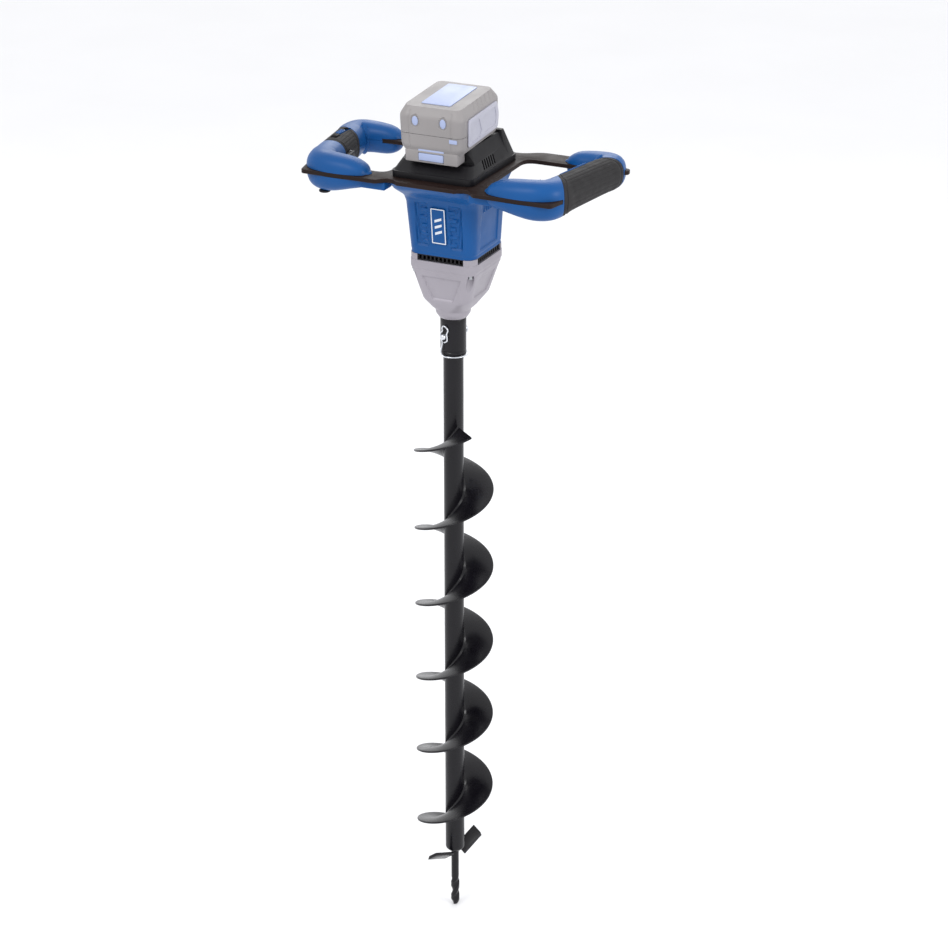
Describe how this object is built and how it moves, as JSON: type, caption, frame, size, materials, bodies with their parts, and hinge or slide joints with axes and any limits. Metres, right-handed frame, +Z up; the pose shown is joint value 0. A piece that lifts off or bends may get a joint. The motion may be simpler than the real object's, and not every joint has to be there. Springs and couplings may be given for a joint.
{
  "type": "cordless earth auger",
  "caption": "Hand-held battery earth auger: power head with two loop handles, gearbox, quick-release coupling and a spiral earth bit.",
  "frame": {"origin": "centre of the flat end of the pilot point", "axes": "+Z up along the auger axis, +X from handle to handle, -Y towards the badge"},
  "size_m": [0.3856, 0.186, 1.1207],
  "materials": {
    "blue_plastic": "moulded, fine texture",
    "black_plastic": "moulded, fine texture",
    "rubber_grip": "soft overmould",
    "frame_paint": "powder coat",
    "cast_alloy": "painted casting",
    "black_steel": "gloss enamel",
    "zinc": "bright zinc",
    "steel": "machined",
    "copper_winding": "enamelled winding",
    "board_green": "circuit board",
    "battery_grey": "moulded",
    "pale_blue": "moulded",
    "cell_can": "sleeved cells"
  },
  "bodies": {
    "head": {"gearbox_housing": "cast_alloy", "ring_gear": "steel", "output_bearing": "steel", "lower_bearing": "steel", "upper_bearing": "steel", "motor_plate": "steel", "trigger_pin": "steel", "gearbox_screw_1": "steel", "gearbox_screw_2": "steel", "gearbox_screw_3": "steel", "gearbox_screw_4": "steel", "shaft_seal": "rubber_grip", "right_grip_sleeve": "rubber_grip", "left_grip_sleeve": "rubber_grip", "left_foot_pad": "rubber_grip", "motor_bracket": "black_plastic", "vent_ring": "black_plastic", "switch_body": "black_plastic", "battery_mount": "black_plastic", "terminal_block": "black_plastic", "motor_stator": "copper_winding", "controller_board": "board_green", "motor_housing": "blue_plastic", "right_handle_upper_shell": "blue_plastic", "right_handle_lower_shell": "blue_plastic", "left_handle_upper_shell": "blue_plastic", "left_handle_lower_shell": "blue_plastic", "badge_plate": "pale_blue", "frame_plate": "frame_paint"},
    "spindle": {"output_spindle": "steel", "drive_sleeve": "black_steel", "hitch_pin": "zinc", "lock_clip": "zinc", "bit_tube": "black_steel", "auger_flight": "black_steel", "cutting_blade_1": "black_steel", "cutting_blade_2": "black_steel", "pilot_point": "black_steel"},
    "rotor": {"rotor_shaft": "steel", "rotor_core": "steel", "cooling_fan": "black_plastic", "sun_gear": "steel"},
    "planet_1": {"planet_gear_1": "steel"},
    "planet_2": {"planet_gear_2": "steel"},
    "planet_3": {"planet_gear_3": "steel"},
    "trigger_lever": {"trigger": "black_plastic"},
    "lock_off": {"lock_off_button": "black_plastic"},
    "slider": {"speed_slider": "blue_plastic"},
    "battery": {"battery_case_lower": "battery_grey", "battery_case_upper": "battery_grey", "battery_cells": "cell_can", "battery_label": "pale_blue", "battery_side_panel_left": "pale_blue", "battery_side_panel_right": "pale_blue"},
    "battery_release": {"release_button": "pale_blue"}
  },
  "joints": [
    {"name": "spindle_spin", "type": "hinge", "parent": "head", "child": "spindle", "pos_m": [0, 0, 0.87], "axis": [0, 0, -1], "continuous": true},
    {"name": "rotor_spin", "type": "hinge", "parent": "head", "child": "rotor", "pos_m": [0, 0, 0.95], "axis": [0, 0, -1], "continuous": true},
    {"name": "planet_1_spin", "type": "hinge", "parent": "spindle", "child": "planet_1", "pos_m": [0.0162, 0, 0.903], "axis": [0, 0, -1], "continuous": true},
    {"name": "planet_2_spin", "type": "hinge", "parent": "spindle", "child": "planet_2", "pos_m": [-0.0081, 0.01403, 0.903], "axis": [0, 0, -1], "continuous": true},
    {"name": "planet_3_spin", "type": "hinge", "parent": "spindle", "child": "planet_3", "pos_m": [-0.0081, -0.01403, 0.903], "axis": [0, 0, -1], "continuous": true},
    {"name": "trigger_pull", "type": "hinge", "parent": "head", "child": "trigger_lever", "pos_m": [-0.1375, 0.001, 1.018], "axis": [0, 0, -1], "range_deg": [0, 7], "stiffness_Nm_per_rad": 0.4, "springref_deg": -5.73},
    {"name": "lock_off_press", "type": "slide", "parent": "head", "child": "lock_off", "axis": [0, 0, -1], "range_m": [0, 0.0025], "stiffness_N_per_m": 300, "springref_m": -0.001},
    {"name": "speed_slider_move", "type": "slide", "parent": "head", "child": "slider", "axis": [0, 1, 0], "range_m": [0, 0.012]},
    {"name": "battery_slide", "type": "slide", "parent": "head", "child": "battery", "axis": [0, -0.9981, -0.061], "range_m": [0, 0.11]},
    {"name": "battery_release_press", "type": "slide", "parent": "battery", "child": "battery_release", "axis": [0, 0.9981, 0.061], "range_m": [0, 0.003], "stiffness_N_per_m": 400, "springref_m": -0.001}
  ],
  "couplings": [
    {"joint": "rotor_spin", "follows": "spindle_spin", "ratio": 6},
    {"joint": "planet_1_spin", "follows": "spindle_spin", "ratio": -2.5},
    {"joint": "planet_2_spin", "follows": "spindle_spin", "ratio": -2.5},
    {"joint": "planet_3_spin", "follows": "spindle_spin", "ratio": -2.5}
  ]
}
